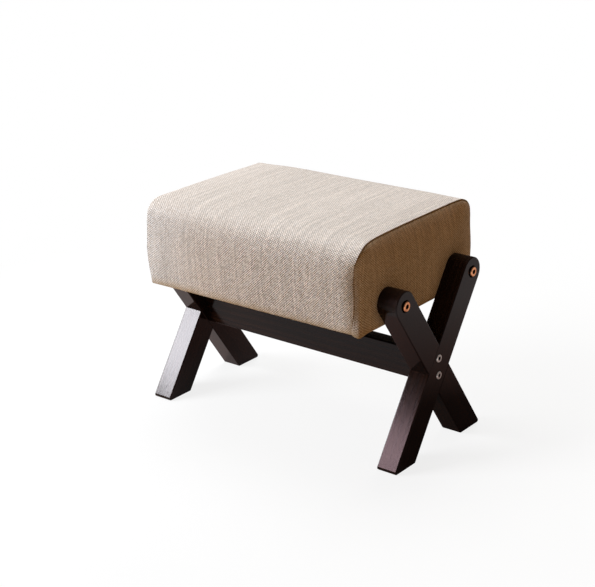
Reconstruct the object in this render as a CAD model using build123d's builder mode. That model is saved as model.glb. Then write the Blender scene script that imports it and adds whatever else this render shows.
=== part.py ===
from build123d import *
import os
from math import atan2, cos, degrees, radians, sin

os.makedirs("parts", exist_ok=True)

# Leg frames, in mm: two crossed bars at each end of the seat
overall_width = 480.0
leg_thickness = 34.0
leg_width = 44.0
crossing_height = 129.0
seat_bolt_inset = 45.5
leg_edge_round = 1.5
toe_round = 3.5
heel_round = 3.0
lap_clearance = 0.1

# Stretcher on edge between the two crossings
stretcher_thickness = 25.0
stretcher_depth = 48.0
stretcher_rise = 3.5
stretcher_edge_round = 2.0
stretcher_bolt_spacing = 27.0

# Bolts and nuts
bolt_diameter = 8.0
bolt_clearance = 0.25
thread_clearance = 0.05
socket_depth = 3.6
seat_head_diameter = 15.0
seat_head_height = 6.0
seat_head_proud = 3.0
seat_head_gap = 2.0
seat_bolt_length = 65.0
seat_socket_flats = 7.0
cap_head_diameter = 13.0
cap_head_height = 8.0
cap_head_proud = 0.5
cap_head_gap = 0.75
cap_bolt_length = 75.0
cap_socket_flats = 6.0
head_edge_break = 0.8
tee_barrel_diameter = 10.0
tee_barrel_length = 14.0
tee_flange_diameter = 22.0
tee_flange_thickness = 1.5
barrel_nut_diameter = 12.0
barrel_nut_length = 18.0
barrel_nut_setback = 34.0
nut_clearance = 0.1
bolt_bore_runout = 6.0

# Padded seat
seat_half_depth = 147.0
seam_height = 350.5
seam_crown = 2.2
seam_side_swell = 0.8
middle_extra_crown = 1.0
middle_extra_swell = 1.2
top_edge_round = 29.0
end_puff = 11.5
end_slope_width = 40.0
end_flat_round = 4.0
cover_thickness = 1.5
cover_tuck = 29.0
padding_gap = 0.3
side_padding = 13.0
end_padding = 6.0
dust_cover_thickness = 0.8
dust_cover_margin = 17.0

# Wooden seat frame inside the padding
deck_height = 292.0
deck_thickness = 9.0
rail_thickness = 20.0
rail_depth = 62.5
seat_bolt_below_deck = 36.0
cross_rail_lift = 17.5
screw_diameter = 4.0
screw_head_diameter = 8.0
screw_length = 50.0
screw_clearance = 0.05
screw_rows = (0.25, 0.75)

# Places that follow from the sizes above
outer_x = overall_width / 2
inner_x = outer_x - leg_thickness
lap_x = inner_x + leg_thickness / 2
rail_top = deck_height - deck_thickness
frame_bottom = rail_top - rail_depth
seat_bottom = frame_bottom - cover_thickness
seat_bolt_height = deck_height - seat_bolt_below_deck
frame_half_depth = seat_half_depth - cover_thickness - side_padding
seat_bolt_y = frame_half_depth - seat_bolt_inset
slope = seat_bolt_y / (seat_bolt_height - crossing_height)
leg_lean = degrees(atan2(seat_bolt_y, seat_bolt_height - crossing_height))
foot_y = crossing_height * slope
half_sole = leg_width / 2 / cos(radians(leg_lean))
stretcher_z = crossing_height + stretcher_rise
seat_head_seat = seat_head_height - seat_head_proud
cap_head_seat = cap_head_height - cap_head_proud
seam_x = inner_x - end_puff
frame_end_x = inner_x - cover_thickness - end_padding
rail_end_x = frame_end_x - rail_thickness
rail_middle_z = frame_bottom + rail_depth / 2
cross_rail_depth = rail_depth - cross_rail_lift
cross_rail_half = frame_half_depth - rail_thickness

right_out = (0, 90, 0)
left_out = (0, -90, 0)
seat_bolt_spots = [
    (sx, y)
    for sx in (1, -1)
    for y in (-seat_bolt_y, seat_bolt_y)
]
stretcher_bolt_rows = [
    stretcher_z - stretcher_bolt_spacing / 2,
    stretcher_z + stretcher_bolt_spacing / 2,
]


def save(part, name):
    """Labels a finished piece and writes its file."""
    part.label = name
    export_step(part, f"parts/{name}.step")


def outward(side):
    """Turns a local +Z axis to the outside of the right (+1) or left (-1) end."""
    return right_out if side > 0 else left_out


# Right-hand legs: each is a bar with a flat foot and a round top about its seat bolt.
# They cross in a half lap, the front leg whole on the outside, the back leg on the inside.
def right_leg(foot_side, lap_start, other_lean):
    """Leg of the right frame whose foot stands at the front (-1) or the back (+1)."""
    lean = radians(leg_lean)
    up = (-foot_side * sin(lean), cos(lean))
    across = (cos(lean), foot_side * sin(lean))
    half = leg_width / 2
    foot = foot_side * foot_y
    top = (-foot_side * seat_bolt_y, seat_bolt_height)
    top_plus = (top[0] + across[0] * half, top[1] + across[1] * half)
    top_minus = (top[0] - across[0] * half, top[1] - across[1] * half)
    top_end = (top[0] + up[0] * half, top[1] + up[1] * half)
    with BuildPart() as bar:
        with BuildSketch(Plane.YZ.offset(inner_x)) as outline:
            with BuildLine():
                Line((foot + half_sole, 0), top_plus)
                ThreePointArc(top_plus, top_end, top_minus)
                Line(top_minus, (foot - half_sole, 0))
                Line((foot - half_sole, 0), (foot + half_sole, 0))
            make_face()
            corners = outline.vertices().group_by(Axis.Y)[0].sort_by(Axis.X)
            toe = corners[0] if foot_side < 0 else corners[-1]
            fillet(toe, radius=toe_round)
            heel = outline.vertices().group_by(Axis.Y)[0].sort_by(Axis.X)
            fillet(heel[-1] if foot_side < 0 else heel[0], radius=heel_round)
        extrude(amount=leg_thickness)
        fillet(bar.faces().filter_by(Axis.X).edges(), radius=leg_edge_round)
        with BuildSketch(Plane.YZ.offset(lap_start)):
            with Locations((0, crossing_height)):
                Rectangle(leg_width + 2 * lap_clearance, 4 * leg_width, rotation=other_lean)
        extrude(amount=leg_thickness / 2, mode=Mode.SUBTRACT)
        with Locations(Location((outer_x, top[0], top[1]), right_out)):
            CounterBoreHole(
                bolt_diameter / 2 + bolt_clearance,
                seat_head_diameter / 2 + seat_head_gap,
                seat_head_seat,
            )
        with Locations(*[Location((outer_x, 0, z), right_out) for z in stretcher_bolt_rows]):
            CounterBoreHole(
                bolt_diameter / 2 + bolt_clearance,
                cap_head_diameter / 2 + cap_head_gap,
                cap_head_seat,
            )
    return bar.part


right_front_leg = right_leg(-1, inner_x, leg_lean)
right_back_leg = right_leg(1, lap_x, -leg_lean)
save(right_front_leg, "right_front_leg")
save(right_back_leg, "right_back_leg")

with BuildPart() as left_front_leg:
    mirror(right_front_leg, about=Plane.YZ)
save(left_front_leg.part, "left_front_leg")

with BuildPart() as left_back_leg:
    mirror(right_back_leg, about=Plane.YZ)
save(left_back_leg.part, "left_back_leg")

# Stretcher: bolt bores in both ends, barrel nut bores from the back so the front stays clean
with BuildPart() as stretcher:
    with Locations((0, 0, stretcher_z)):
        Box(2 * inner_x, stretcher_thickness, stretcher_depth)
    fillet(stretcher.edges().filter_by(Axis.X), radius=stretcher_edge_round)
    for side in (1, -1):
        with Locations(*[Location((side * inner_x, 0, z), outward(side)) for z in stretcher_bolt_rows]):
            Hole(
                bolt_diameter / 2 + bolt_clearance,
                depth=cap_bolt_length + cap_head_seat - leg_thickness + bolt_bore_runout,
            )
        nut_x = side * (inner_x - barrel_nut_setback)
        with Locations(*[Location((nut_x, stretcher_thickness / 2, z), (-90, 0, 0)) for z in stretcher_bolt_rows]):
            Hole(
                barrel_nut_diameter / 2 + nut_clearance,
                depth=stretcher_thickness / 2 + barrel_nut_length / 2,
            )
save(stretcher.part, "stretcher")


# Bolts: origin under the head, head along +Z, shank along -Z
def socket_bolt(head_diameter, head_height, shank_length, flats):
    """Cylinder-head bolt with a hexagon socket."""
    with BuildPart() as bolt:
        Cylinder(head_diameter / 2, head_height, align=(Align.CENTER, Align.CENTER, Align.MIN))
        chamfer(bolt.faces().sort_by(Axis.Z)[-1].edges(), length=head_edge_break)
        Cylinder(bolt_diameter / 2, shank_length, align=(Align.CENTER, Align.CENTER, Align.MAX))
        chamfer(bolt.faces().sort_by(Axis.Z)[0].edges(), length=head_edge_break)
        with BuildSketch(Plane.XY.offset(head_height)):
            RegularPolygon(flats / 2, 6, major_radius=False)
        extrude(amount=-socket_depth, mode=Mode.SUBTRACT)
    return bolt.part


seat_bolt = socket_bolt(seat_head_diameter, seat_head_height, seat_bolt_length, seat_socket_flats)
with BuildPart() as seat_bolts:
    for side, y in seat_bolt_spots:
        with Locations(Location((side * (outer_x - seat_head_seat), y, seat_bolt_height), outward(side))):
            add(seat_bolt)
save(seat_bolts.part, "seat_bolts")

cap_bolt = socket_bolt(cap_head_diameter, cap_head_height, cap_bolt_length, cap_socket_flats)
with BuildPart() as stretcher_bolts:
    for side in (1, -1):
        for z in stretcher_bolt_rows:
            with Locations(Location((side * (outer_x - cap_head_seat), 0, z), outward(side))):
                add(cap_bolt)
save(stretcher_bolts.part, "stretcher_bolts")

# Tee nut: flange on the inside of the end rail, barrel in the rail
with BuildPart() as tee_nut:
    Cylinder(tee_flange_diameter / 2, tee_flange_thickness, align=(Align.CENTER, Align.CENTER, Align.MAX))
    Cylinder(tee_barrel_diameter / 2, tee_barrel_length, align=(Align.CENTER, Align.CENTER, Align.MIN))
    with Locations((0, 0, tee_barrel_length)):
        Hole(bolt_diameter / 2 + thread_clearance)

with BuildPart() as seat_tee_nuts:
    for side, y in seat_bolt_spots:
        with Locations(Location((side * rail_end_x, y, seat_bolt_height), outward(side))):
            add(tee_nut.part)
save(seat_tee_nuts.part, "seat_tee_nuts")

# Barrel nut: plug across the stretcher with a cross bore for the bolt
with BuildPart() as barrel_nut:
    Cylinder(barrel_nut_diameter / 2, barrel_nut_length, rotation=(90, 0, 0))
    with Locations(Location((barrel_nut_diameter, 0, 0), right_out)):
        Hole(bolt_diameter / 2 + thread_clearance)

with BuildPart() as stretcher_barrel_nuts:
    for side in (1, -1):
        for z in stretcher_bolt_rows:
            with Locations((side * (inner_x - barrel_nut_setback), 0, z)):
                add(barrel_nut.part)
save(stretcher_barrel_nuts.part, "stretcher_barrel_nuts")


# Wooden seat frame: end rails over the ends of the long rails, screwed from outside
corner_screw_rows = [frame_bottom + rail_depth * part for part in screw_rows]
cross_screw_rows = [rail_top - cross_rail_depth * part for part in screw_rows]
corner_screw_y = frame_half_depth - rail_thickness / 2
screw_hole = screw_diameter / 2 + screw_clearance
screw_head_hole = screw_head_diameter / 2 + screw_clearance


def right_end_rail():
    """End rail of the right side with tee nut and screw bores."""
    with BuildPart() as rail:
        with Locations((frame_end_x - rail_thickness / 2, 0, rail_middle_z)):
            Box(rail_thickness, 2 * frame_half_depth, rail_depth)
        for y in (-seat_bolt_y, seat_bolt_y):
            with Locations(Location((frame_end_x, y, seat_bolt_height), right_out)):
                Hole(tee_barrel_diameter / 2 + nut_clearance)
        for y in (-corner_screw_y, corner_screw_y):
            for z in corner_screw_rows:
                with Locations(Location((frame_end_x, y, z), right_out)):
                    CounterSinkHole(screw_hole, screw_head_hole, counter_sink_angle=90)
    return rail.part


frame_right_rail = right_end_rail()
save(frame_right_rail, "frame_right_rail")

with BuildPart() as frame_left_rail:
    mirror(frame_right_rail, about=Plane.YZ)
save(frame_left_rail.part, "frame_left_rail")

with BuildPart() as frame_front_rail:
    with Locations((0, -corner_screw_y, rail_middle_z)):
        Box(2 * rail_end_x, rail_thickness, rail_depth)
    for side in (1, -1):
        with Locations(*[Location((side * rail_end_x, -corner_screw_y, z), outward(side)) for z in corner_screw_rows]):
            Hole(screw_hole, depth=screw_length - rail_thickness + screw_clearance)
    with Locations(*[Location((0, -frame_half_depth, z), (90, 0, 0)) for z in cross_screw_rows]):
        CounterSinkHole(screw_hole, screw_head_hole, counter_sink_angle=90)
save(frame_front_rail.part, "frame_front_rail")

with BuildPart() as frame_back_rail:
    mirror(frame_front_rail.part, about=Plane.XZ)
save(frame_back_rail.part, "frame_back_rail")

with BuildPart() as frame_cross_rail:
    with Locations((0, 0, rail_top - cross_rail_depth / 2)):
        Box(rail_thickness, 2 * cross_rail_half, cross_rail_depth)
    for z in cross_screw_rows:
        with Locations(Location((0, -cross_rail_half, z), (90, 0, 0))):
            Hole(screw_hole, depth=screw_length - rail_thickness + screw_clearance)
        with Locations(Location((0, cross_rail_half, z), (-90, 0, 0))):
            Hole(screw_hole, depth=screw_length - rail_thickness + screw_clearance)
save(frame_cross_rail.part, "frame_cross_rail")

# Wood screw: flat of the head at the origin, point along -Z
with BuildPart() as wood_screw:
    with BuildSketch(Plane.XZ):
        with BuildLine():
            Polyline(
                (0, 0),
                (screw_head_diameter / 2, 0),
                (screw_diameter / 2, (screw_diameter - screw_head_diameter) / 2),
                (screw_diameter / 2, screw_diameter - screw_length),
                (0, -screw_length),
                close=True,
            )
        make_face()
    revolve(axis=Axis.Z)

with BuildPart() as frame_screws:
    for side in (1, -1):
        for y in (-corner_screw_y, corner_screw_y):
            for z in corner_screw_rows:
                with Locations(Location((side * frame_end_x, y, z), outward(side))):
                    add(wood_screw.part)
    for z in cross_screw_rows:
        with Locations(Location((0, -frame_half_depth, z), (90, 0, 0))):
            add(wood_screw.part)
        with Locations(Location((0, frame_half_depth, z), (-90, 0, 0))):
            add(wood_screw.part)
save(frame_screws.part, "frame_screws")

with BuildPart() as seat_deck:
    with Locations((0, 0, deck_height - deck_thickness / 2)):
        Box(2 * frame_end_x, 2 * frame_half_depth, deck_thickness)
save(seat_deck.part, "seat_deck")


# Padded form: cross sections along X, arcs for the swelling front, back and crowned top
def cushion_section(x, half_depth, floor_z, corner_z, crown, swell, edge_round):
    """Outline of the seat at one station, its two top edges rounded."""
    middle_z = (floor_z + corner_z) / 2
    with BuildSketch(Plane.YZ.offset(x)) as outline:
        with BuildLine():
            Line((half_depth, floor_z), (-half_depth, floor_z))
            ThreePointArc((-half_depth, floor_z), (-half_depth - swell, middle_z), (-half_depth, corner_z))
            ThreePointArc((-half_depth, corner_z), (0, corner_z + crown), (half_depth, corner_z))
            ThreePointArc((half_depth, corner_z), (half_depth + swell, middle_z), (half_depth, floor_z))
        make_face()
        fillet(outline.vertices().group_by(Axis.Y)[-1], radius=edge_round)
    return outline.sketch


def main_sections(inset):
    """Stations of the main panel from seam to seam, fullest in the middle, drawn in by inset."""
    stations = []
    for share in (-1, -0.87, -0.6, 0, 0.6, 0.87, 1):
        full = 1 - share**4
        stations.append(
            cushion_section(
                share * seam_x,
                seat_half_depth - inset,
                seat_bottom + min(inset, cover_thickness),
                seam_height - inset,
                seam_crown + full * middle_extra_crown,
                seam_side_swell + full * middle_extra_swell,
                top_edge_round - inset,
            )
        )
    return stations


def end_sections(side, inset):
    """Stations of one domed end, from its crisp seam in to the flat that meets the legs."""
    stations = []
    for share in (0, 0.11, 0.24, 0.4, 0.6, 1):
        drawn_in = end_slope_width * share
        reach = (end_puff - inset) * (1 - (1 - share) ** 2)
        stations.append(
            cushion_section(
                side * (seam_x + reach),
                seat_half_depth - inset - drawn_in,
                seat_bottom + min(inset, cover_thickness),
                seam_height - inset - drawn_in,
                seam_crown,
                seam_side_swell,
                (top_edge_round - inset) * (1 - share) + end_flat_round * share,
            )
        )
    return stations


def padded_form(inset):
    """Whole padded seat as one form, drawn in by inset from the cover's outside."""
    with BuildPart() as form:
        loft(sections=main_sections(inset), ruled=True)
        loft(sections=end_sections(1, inset), ruled=True)
        loft(sections=end_sections(-1, inset), ruled=True)
    return form.part


padding_inset = cover_thickness + padding_gap
padding = padded_form(padding_inset)
padding_room = 4 * seat_half_depth

with BuildPart() as seat_foam:
    add(padding)
    with Locations((0, 0, deck_height)):
        Box(padding_room, padding_room, padding_room, align=(Align.CENTER, Align.CENTER, Align.MIN),
            mode=Mode.INTERSECT)
save(seat_foam.part, "seat_foam")

with BuildPart() as front_padding:
    add(padding)
    with Locations((0, -frame_half_depth, deck_height)):
        Box(2 * frame_end_x, padding_room, padding_room, align=(Align.CENTER, Align.MAX, Align.MAX),
            mode=Mode.INTERSECT)
save(front_padding.part, "front_padding")

with BuildPart() as back_padding:
    mirror(front_padding.part, about=Plane.XZ)
save(back_padding.part, "back_padding")

with BuildPart() as right_end_padding:
    add(padding)
    with Locations((frame_end_x, 0, deck_height)):
        Box(padding_room, padding_room, padding_room, align=(Align.MIN, Align.CENTER, Align.MAX),
            mode=Mode.INTERSECT)
    with Locations(*[Location((inner_x, y, seat_bolt_height), right_out) for y in (-seat_bolt_y, seat_bolt_y)]):
        Hole(bolt_diameter / 2 + bolt_clearance)
save(right_end_padding.part, "right_end_padding")

with BuildPart() as left_end_padding:
    mirror(right_end_padding.part, about=Plane.YZ)
save(left_end_padding.part, "left_end_padding")

# Cover: main panel from under the front rail over the top to under the back rail
with BuildPart() as cover_main_panel:
    loft(sections=main_sections(0), ruled=True)
    loft(sections=main_sections(cover_thickness), ruled=True, mode=Mode.SUBTRACT)
    with Locations((0, 0, seat_bottom)):
        Box(2 * seam_x, 2 * (seat_half_depth - cover_tuck), 2 * cover_thickness, mode=Mode.SUBTRACT)
save(cover_main_panel.part, "cover_main_panel")

with BuildPart() as cover_right_panel:
    loft(sections=end_sections(1, 0), ruled=True)
    loft(sections=end_sections(1, cover_thickness), ruled=True, mode=Mode.SUBTRACT)
    with Locations(*[Location((inner_x, y, seat_bolt_height), right_out) for y in (-seat_bolt_y, seat_bolt_y)]):
        Hole(bolt_diameter / 2 + bolt_clearance)
save(cover_right_panel.part, "cover_right_panel")

with BuildPart() as cover_left_panel:
    mirror(cover_right_panel.part, about=Plane.YZ)
save(cover_left_panel.part, "cover_left_panel")

with BuildPart() as dust_cover:
    with Locations((0, 0, seat_bottom)):
        Box(
            2 * (inner_x - dust_cover_margin),
            2 * (seat_half_depth - dust_cover_margin),
            dust_cover_thickness,
            align=(Align.CENTER, Align.CENTER, Align.MAX),
        )
save(dust_cover.part, "dust_cover")
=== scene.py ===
import math

import bmesh
import bpy
import numpy as np
from mathutils import Matrix, Vector


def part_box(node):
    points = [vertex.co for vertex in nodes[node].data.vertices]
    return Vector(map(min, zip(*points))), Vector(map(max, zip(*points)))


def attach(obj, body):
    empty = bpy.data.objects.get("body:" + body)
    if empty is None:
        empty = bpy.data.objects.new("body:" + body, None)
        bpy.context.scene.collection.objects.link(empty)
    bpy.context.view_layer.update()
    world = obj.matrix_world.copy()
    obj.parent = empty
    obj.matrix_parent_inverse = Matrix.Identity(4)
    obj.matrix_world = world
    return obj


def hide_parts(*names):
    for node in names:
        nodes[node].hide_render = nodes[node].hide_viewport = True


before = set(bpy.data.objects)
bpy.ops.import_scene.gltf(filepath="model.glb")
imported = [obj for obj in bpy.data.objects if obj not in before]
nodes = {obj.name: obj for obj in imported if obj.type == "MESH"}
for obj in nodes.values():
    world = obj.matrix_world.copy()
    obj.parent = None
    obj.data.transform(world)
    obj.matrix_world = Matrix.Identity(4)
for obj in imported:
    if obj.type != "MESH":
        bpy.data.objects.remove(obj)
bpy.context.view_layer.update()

# Sizes of the stool in metres, as in the CAD
LEG_X = 0.206            # inner face of the legs
LEG_HALF = 0.022         # half of a leg's width
CROSSING = 0.129         # height of the leg crossings
SEAT_BOLT_Y = 0.087
SEAT_BOLT_Z = 0.256
LEAN = math.atan2(SEAT_BOLT_Y, SEAT_BOLT_Z - CROSSING)
SEAM_X = 0.1945
SEAM_HEIGHT = 0.3505
PUFF = 0.0115            # how far an end stands out past its seam
SLOPE = 0.040            # width of an end's slope, from its seam to its flat
FLAT_ROUND = 0.004
HALF_DEPTH = 0.147
SEAT_BOTTOM = 0.219
TOP_ROUND = 0.029
CROWN = 0.0022           # rise of the top at the seams
SWELL = 0.0008           # swell of front and back at the seams
MIDDLE_CROWN = 0.001     # what the middle has more of both
MIDDLE_SWELL = 0.0012
TUCK_Y = 0.118           # where the main panel ends under the seat
DECK = 0.292             # top of the deck
FRAME_X = 0.1985
FRAME_Y = 0.1325

# Camera of the photograph: its focal length is in the photo's pixels
CAMERA_PLACE = (1.3587, -1.7094, 1.0243)
CAMERA_AZIMUTH = math.radians(38.98)
CAMERA_ELEVATION = math.radians(20.75)
CAMERA_ROLL = math.radians(-1.56)
FOCAL_PIXELS = 1505.6
PHOTO_WIDTH = 595
SENSOR_WIDTH = 36


def make_camera():
    level = math.cos(CAMERA_ELEVATION)
    back = Vector((math.sin(CAMERA_AZIMUTH) * level, -math.cos(CAMERA_AZIMUTH) * level,
                   math.sin(CAMERA_ELEVATION)))
    right = Vector((math.cos(CAMERA_AZIMUTH), math.sin(CAMERA_AZIMUTH), 0))
    up = back.cross(right)
    turned_right = right * math.cos(CAMERA_ROLL) + up * math.sin(CAMERA_ROLL)
    turned_up = up * math.cos(CAMERA_ROLL) - right * math.sin(CAMERA_ROLL)
    place = Matrix((turned_right, turned_up, back)).transposed().to_4x4()
    place.translation = CAMERA_PLACE
    data = bpy.data.cameras.new("camera")
    data.sensor_fit = "HORIZONTAL"
    data.sensor_width = SENSOR_WIDTH
    data.lens = FOCAL_PIXELS / PHOTO_WIDTH * SENSOR_WIDTH
    camera = bpy.data.objects.new("camera", data)
    camera.matrix_world = place
    bpy.context.scene.collection.objects.link(camera)
    bpy.context.scene.camera = camera


make_camera()


# Node helpers
def put(tree, kind, inputs=None, **props):
    """Adds a node, sets its properties, and links or sets its inputs."""
    node = tree.nodes.new(kind)
    for key, value in props.items():
        setattr(node, key, value)
    for key, value in (inputs or {}).items():
        if isinstance(value, bpy.types.NodeSocket):
            tree.links.new(value, node.inputs[key])
        else:
            node.inputs[key].default_value = value
    return node


def calc(tree, operation, *values):
    return put(tree, "ShaderNodeMath", dict(enumerate(values)), operation=operation).outputs[0]


def product(tree, *values):
    result = values[0]
    for value in values[1:]:
        result = calc(tree, "MULTIPLY", result, value)
    return result


def weighted(tree, *pairs):
    """Sum of values, each times its weight."""
    terms = [product(tree, value, weight) for value, weight in pairs]
    result = terms[0]
    for term in terms[1:]:
        result = calc(tree, "ADD", result, term)
    return result


def ridges(tree, value, rate):
    """Row of ridges of height 1, one for each half turn of a sine."""
    return calc(tree, "ABSOLUTE", calc(tree, "SINE", product(tree, value, rate)))


def spread(tree, value, low, high, out_low=0.0, out_high=1.0):
    """Maps low to high onto out_low to out_high, and holds the value beyond them."""
    node = put(tree, "ShaderNodeMapRange", {0: value, 1: low, 2: high, 3: out_low, 4: out_high})
    return node.outputs[0]


def vector(tree, *parts):
    return put(tree, "ShaderNodeCombineXYZ", dict(enumerate(parts))).outputs[0]


def part_of(tree, value, index):
    """X, Y or Z of a vector, as index 0, 1 or 2."""
    return put(tree, "ShaderNodeSeparateXYZ", {0: value}).outputs[index]


def vector_calc(tree, operation, a, b):
    return put(tree, "ShaderNodeVectorMath", {0: a, 1: b}, operation=operation).outputs["Value"]


def texture_place(tree, kind="Object"):
    return put(tree, "ShaderNodeTexCoord").outputs[kind]


def normal(tree, kind="Normal"):
    return put(tree, "ShaderNodeNewGeometry").outputs[kind]


def along_grain(tree, place, turn, stretch):
    """Place turned so that the grain runs along Z, and stretched along it."""
    turned = put(tree, "ShaderNodeMapping", {0: place, "Rotation": turn}).outputs[0]
    return put(tree, "ShaderNodeMapping", {0: turned, "Scale": (1, 1, stretch)}).outputs[0]


def noise(tree, place, scale, detail=2.0, rough=0.5):
    inputs = {"Vector": place, "Scale": scale, "Detail": detail, "Roughness": rough}
    return put(tree, "ShaderNodeTexNoise", inputs).outputs["Fac"]


def grey(tree, value):
    return put(tree, "ShaderNodeCombineColor", {0: value, 1: value, 2: value}).outputs[0]


def mix_colour(tree, share, a, b, blend="MIX"):
    node = put(tree, "ShaderNodeMix", {0: share, 6: a, 7: b}, data_type="RGBA", blend_type=blend)
    return node.outputs[2]


def tinted(tree, colour, tint, share=1.0):
    return mix_colour(tree, share, colour, tint, "MULTIPLY")


def ramp(tree, share, stops):
    node = put(tree, "ShaderNodeValToRGB", {0: share})
    elements = node.color_ramp.elements
    while len(elements) < len(stops):
        elements.new(0.5)
    for element, (place, colour) in zip(elements, stops):
        element.position = place
        element.color = (*colour, 1)
    return node.outputs[0]


def principled(name, roughness=0.5, metallic=0.0, specular=0.5):
    material = bpy.data.materials.new(name)
    material.use_nodes = True
    tree = material.node_tree
    shader = tree.nodes["Principled BSDF"]
    shader.inputs["Roughness"].default_value = roughness
    shader.inputs["Metallic"].default_value = metallic
    shader.inputs["Specular IOR Level"].default_value = specular
    return material, tree, shader


def bump(tree, shader, height, strength, distance):
    node = put(tree, "ShaderNodeBump", {"Height": height, "Strength": strength, "Distance": distance})
    tree.links.new(node.outputs[0], shader.inputs["Normal"])


# Cover cloth: hopsack weave of slubbed yarns, which cross in groups of two
WARP = 0.00103                       # yarn spacing across the cloth and along it
WEFT = 0.00090
GROUP = 2.0
SLUB_RATE = 110.0                    # noise steps to a metre of yarn
WARP_SHIFT = 3.7                     # shifts that keep the noise of neighbours apart
WEFT_SHIFT = 5.3
WEFT_LAYER = 9.0
STREAK_RATE = 7.0
STREAK_SHIFT = 1.3
WARP_TONES = [(0.25, (0.690, 0.615, 0.550)), (0.50, (0.950, 0.880, 0.822)), (0.75, (0.970, 0.945, 0.920))]
WEFT_TONES = [(0.25, (0.095, 0.067, 0.048)), (0.50, (0.250, 0.190, 0.148)), (0.75, (0.560, 0.468, 0.394))]
UPRIGHT_TO_LEVEL = (0.12, 0.88)      # Z of the normal, from upright faces to level ones
STEEP_TO_SLOPED = (0.0, 0.25)
# Stretches of painted light along X: the evened weave, the paler right, the cool left and the shade by the
# right seam
LIGHT_EVENED_X = (-0.19, 0.04)               # stretches along X in metres
PALE_LIGHT_X = (-0.08, 0.19)
COOL_LIGHT_X = (-0.19, -0.09)
SEAM_SHADE_X = (SEAM_X - 0.022, SEAM_X - 0.004)
LIP_X = (SEAM_X - 0.0020, SEAM_X - 0.0008)
# Tints of painted light and shade: cool light at the left, shade by the right seam, warm shade on the ends
COOL_LIGHT_TINT = (1.0, 1.08, 1.16, 1)
SEAM_SHADE_TINT = (0.78, 0.70, 0.60, 1)
END_WARM_SHADE_TINT = (1.0, 0.88, 0.70, 1)
# Even tones that painted light and shade mix the weave towards: main panel, then ends
MAIN_LIGHT_EVENED_TONE = (0.655, 0.587, 0.530, 1)
END_SHADE_EVENED_TONE = (0.660, 0.530, 0.420, 1)
# Painted warm bounce light and shade along the cover's lower edge
BOTTOM_BOUNCE_TINT = (0.430, 0.290, 0.130, 1)
BOTTOM_BOUNCE_HEIGHT = 0.013


def weave(tree, uv, across, along):
    """Height and shade of the yarns, their flecks, where the warp is on top, and the column of each group."""
    u = calc(tree, "DIVIDE", across, WARP)
    v = calc(tree, "DIVIDE", along, WEFT)
    group_u = calc(tree, "FLOOR", calc(tree, "DIVIDE", u, GROUP))
    group_v = calc(tree, "FLOOR", calc(tree, "DIVIDE", v, GROUP))
    warp_up = calc(tree, "FLOORED_MODULO", calc(tree, "ADD", group_u, group_v), 2.0)
    weft_up = calc(tree, "SUBTRACT", 1.0, warp_up)
    warp_yarns = product(tree, ridges(tree, u, math.pi), ridges(tree, v, math.pi / GROUP))
    weft_yarns = product(tree, ridges(tree, v, math.pi), ridges(tree, u, math.pi / GROUP))
    height = weighted(tree, (warp_yarns, warp_up), (weft_yarns, weft_up))
    warp_row = product(tree, calc(tree, "FLOOR", u), WARP_SHIFT)
    weft_row = product(tree, calc(tree, "FLOOR", v), WEFT_SHIFT)
    warp_place = vector(tree, warp_row, product(tree, along, SLUB_RATE))
    weft_place = vector(tree, product(tree, across, SLUB_RATE), weft_row, WEFT_LAYER)
    warp_slub = noise(tree, warp_place, scale=1.0, detail=1.0)
    weft_slub = noise(tree, weft_place, scale=1.0, detail=1.0)
    slub = weighted(tree, (warp_slub, warp_up), (weft_slub, weft_up))
    flecks = noise(tree, uv, scale=420.0, rough=0.7)
    group_place = vector(tree, group_u, group_v)
    chance = put(tree, "ShaderNodeTexWhiteNoise", {"Vector": group_place}, noise_dimensions="2D")
    shade = weighted(tree, (slub, 0.30), (flecks, 0.30), (chance.outputs["Value"], 0.40))
    return height, shade, flecks, warp_up, group_u


def paint_light_on_main_panel(tree, colour, across, upward):
    """Painted light on the main panel: paler to the right, and on upright faces cooler light at the left and
    painted shade beside the right seam.
    """
    # Painted light: paler towards the right
    colour = tinted(tree, colour, grey(tree, spread(tree, across, *PALE_LIGHT_X, 1.0, 1.12)))
    # Painted cool light on upright faces at the left
    left = spread(tree, across, *COOL_LIGHT_X, 1.0, 0.0)
    upright = spread(tree, upward, *UPRIGHT_TO_LEVEL, 1.0, 0.0)
    colour = tinted(tree, colour, COOL_LIGHT_TINT, product(tree, left, upright))
    # Painted shade beside the right seam on upright faces, lighter at the seam's lip
    by_seam = spread(tree, across, *SEAM_SHADE_X)
    lip = spread(tree, across, *LIP_X, 1.0, 0.3)
    steep = spread(tree, upward, *STEEP_TO_SLOPED, 1.0, 0.0)
    return tinted(tree, colour, SEAM_SHADE_TINT, product(tree, by_seam, lip, steep))


def paint_bottom_bounce(tree, colour, uv):
    """Paints warm bounce light and shade, unevenly, on the lowest stretch of the cover."""
    low = spread(tree, part_of(tree, texture_place(tree), 2), SEAT_BOTTOM + BOTTOM_BOUNCE_HEIGHT, SEAT_BOTTOM)
    bounce_patches = spread(tree, noise(tree, uv, scale=30.0, detail=3.0), 0.35, 0.65, 0.30, 0.80)
    return mix_colour(tree, product(tree, low, bounce_patches), colour, BOTTOM_BOUNCE_TINT)


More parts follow.
